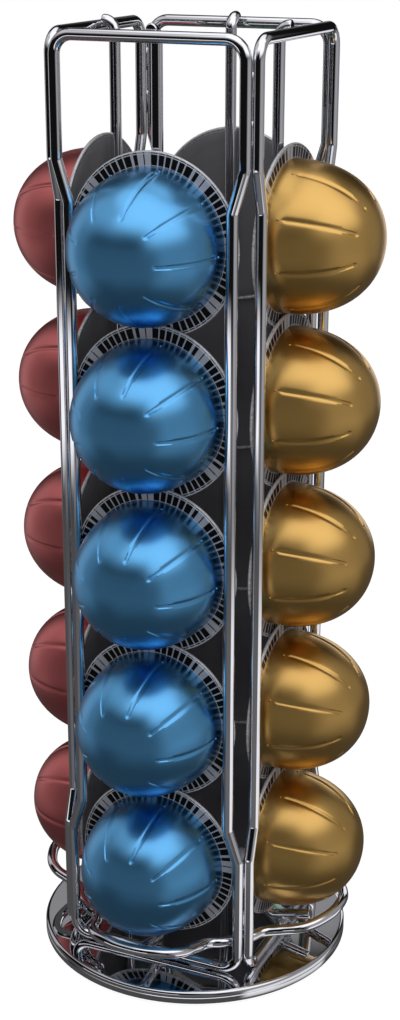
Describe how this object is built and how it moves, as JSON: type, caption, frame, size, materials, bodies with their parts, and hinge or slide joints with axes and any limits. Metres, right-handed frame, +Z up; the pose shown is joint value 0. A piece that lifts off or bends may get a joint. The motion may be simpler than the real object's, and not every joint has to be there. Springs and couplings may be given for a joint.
{
  "type": "coffee capsule dispenser",
  "caption": "Rotating chrome wire carousel on a round mirror disc, loaded with columns of domed metal coffee capsules in open slots above a lobed stop ring.",
  "frame": {"origin": "centre of the round foot on the surface it stands on", "axes": "+Z up along the turning axis; -Y towards the column of blue capsules, +X towards the gold ones"},
  "size_m": [0.1354, 0.1354, 0.3475],
  "materials": {
    "chrome_wire": "bright chrome-plated wire",
    "chrome_disc": "mirror chrome-plated pressed steel",
    "lid_foil": "dark grey lacquered foil",
    "base_steel": "zinc-plated steel",
    "ball_steel": "polished balls",
    "black_rubber": "matte",
    "cage_plastic": "natural nylon",
    "capsule_front": "satin blue lacquer on aluminium",
    "capsule_right": "satin gold lacquer on aluminium",
    "capsule_back": "satin green lacquer on aluminium",
    "capsule_left": "satin red lacquer on aluminium"
  },
  "bodies": {
    "base": {"foot_ring": "black_rubber", "base_plate": "base_steel", "pivot_rivet": "base_steel", "ball_cage": "cage_plastic", "bearing_ball_1": "ball_steel", "bearing_ball_2": "ball_steel", "bearing_ball_3": "ball_steel", "bearing_ball_4": "ball_steel", "bearing_ball_5": "ball_steel"},
    "carousel": {"turntable_disc": "chrome_disc", "stop_ring": "chrome_wire", "frame_front": "chrome_wire", "rod_front": "chrome_wire", "frame_right": "chrome_wire", "rod_right": "chrome_wire", "frame_back": "chrome_wire", "rod_back": "chrome_wire", "frame_left": "chrome_wire", "rod_left": "chrome_wire"},
    "stack_front": {"capsule_front_1": "capsule_front", "lid_front_1": "lid_foil", "capsule_front_2": "capsule_front", "lid_front_2": "lid_foil", "capsule_front_3": "capsule_front", "lid_front_3": "lid_foil", "capsule_front_4": "capsule_front", "lid_front_4": "lid_foil"},
    "low_front": {"capsule_front_5": "capsule_front", "lid_front_5": "lid_foil"},
    "stack_right": {"capsule_right_1": "capsule_right", "lid_right_1": "lid_foil", "capsule_right_2": "capsule_right", "lid_right_2": "lid_foil", "capsule_right_3": "capsule_right", "lid_right_3": "lid_foil", "capsule_right_4": "capsule_right", "lid_right_4": "lid_foil"},
    "low_right": {"capsule_right_5": "capsule_right", "lid_right_5": "lid_foil"},
    "stack_back": {"capsule_back_1": "capsule_back", "lid_back_1": "lid_foil", "capsule_back_2": "capsule_back", "lid_back_2": "lid_foil", "capsule_back_3": "capsule_back", "lid_back_3": "lid_foil", "capsule_back_4": "capsule_back", "lid_back_4": "lid_foil"},
    "low_back": {"capsule_back_5": "capsule_back", "lid_back_5": "lid_foil"},
    "stack_left": {"capsule_left_1": "capsule_left", "lid_left_1": "lid_foil", "capsule_left_2": "capsule_left", "lid_left_2": "lid_foil", "capsule_left_3": "capsule_left", "lid_left_3": "lid_foil", "capsule_left_4": "capsule_left", "lid_left_4": "lid_foil"},
    "low_left": {"capsule_left_5": "capsule_left", "lid_left_5": "lid_foil"}
  },
  "joints": [
    {"name": "carousel_spin", "type": "hinge", "parent": "base", "child": "carousel", "pos_m": [0, 0, 0], "axis": [0, 0, 1], "continuous": true},
    {"name": "low_front_pull", "type": "slide", "parent": "carousel", "child": "low_front", "axis": [0, -0.9703, 0.2419], "range_m": [0, 0.0215]},
    {"name": "stack_front_lift", "type": "slide", "parent": "carousel", "child": "stack_front", "axis": [0, 0, 1], "range_m": [0, 0.0043]},
    {"name": "low_right_pull", "type": "slide", "parent": "carousel", "child": "low_right", "axis": [0.9703, 0, 0.2419], "range_m": [0, 0.0215]},
    {"name": "stack_right_lift", "type": "slide", "parent": "carousel", "child": "stack_right", "axis": [0, 0, 1], "range_m": [0, 0.0043]},
    {"name": "low_back_pull", "type": "slide", "parent": "carousel", "child": "low_back", "axis": [0, 0.9703, 0.2419], "range_m": [0, 0.0215]},
    {"name": "stack_back_lift", "type": "slide", "parent": "carousel", "child": "stack_back", "axis": [0, 0, 1], "range_m": [0, 0.0043]},
    {"name": "low_left_pull", "type": "slide", "parent": "carousel", "child": "low_left", "axis": [-0.9703, 0, 0.2419], "range_m": [0, 0.0215]},
    {"name": "stack_left_lift", "type": "slide", "parent": "carousel", "child": "stack_left", "axis": [0, 0, 1], "range_m": [0, 0.0043]}
  ],
  "couplings": [
    {"joint": "stack_front_lift", "follows": "low_front_pull", "ratio": 0.2},
    {"joint": "stack_right_lift", "follows": "low_right_pull", "ratio": 0.2},
    {"joint": "stack_back_lift", "follows": "low_back_pull", "ratio": 0.2},
    {"joint": "stack_left_lift", "follows": "low_left_pull", "ratio": 0.2}
  ]
}
